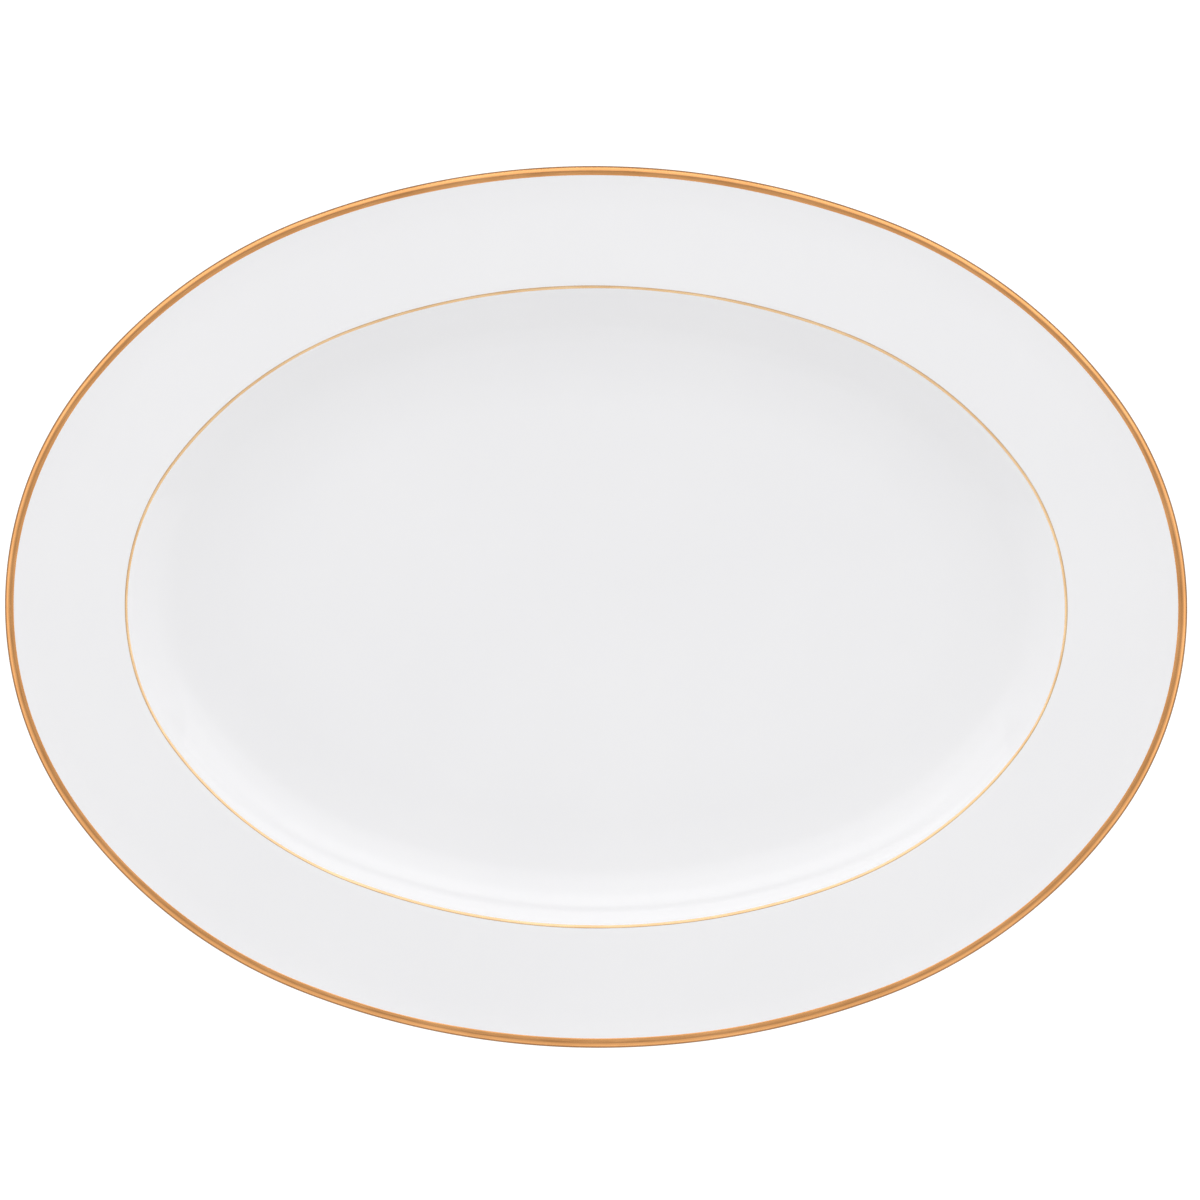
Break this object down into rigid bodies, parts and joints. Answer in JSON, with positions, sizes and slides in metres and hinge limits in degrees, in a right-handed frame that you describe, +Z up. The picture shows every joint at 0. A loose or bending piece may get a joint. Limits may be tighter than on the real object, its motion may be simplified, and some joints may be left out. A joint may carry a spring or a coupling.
{
  "type": "serving platter",
  "caption": "Oval china serving platter with a broad plain rim, a gold band round the lip, a fine gold line at the verge and a shallow flat well on an oval foot ring.",
  "frame": {"origin": "centre of the platter on the plane that its foot ring stands on", "axes": "+X along the length, +Y across the width, +Z up out of the well"},
  "size_m": [0.356, 0.2656, 0.022],
  "materials": {
    "bare_porcelain": "bare fired porcelain, fine grained and matt",
    "clear_glaze": "clear glossy glaze over cool white china",
    "burnished_gold": "burnished gold, brushed on and fired"
  },
  "bodies": {
    "root": {"porcelain_body": "bare_porcelain", "face_glaze": "clear_glaze", "recess_glaze": "clear_glaze", "rim_gold_band": "burnished_gold", "verge_gold_line": "burnished_gold"}
  },
  "joints": []
}
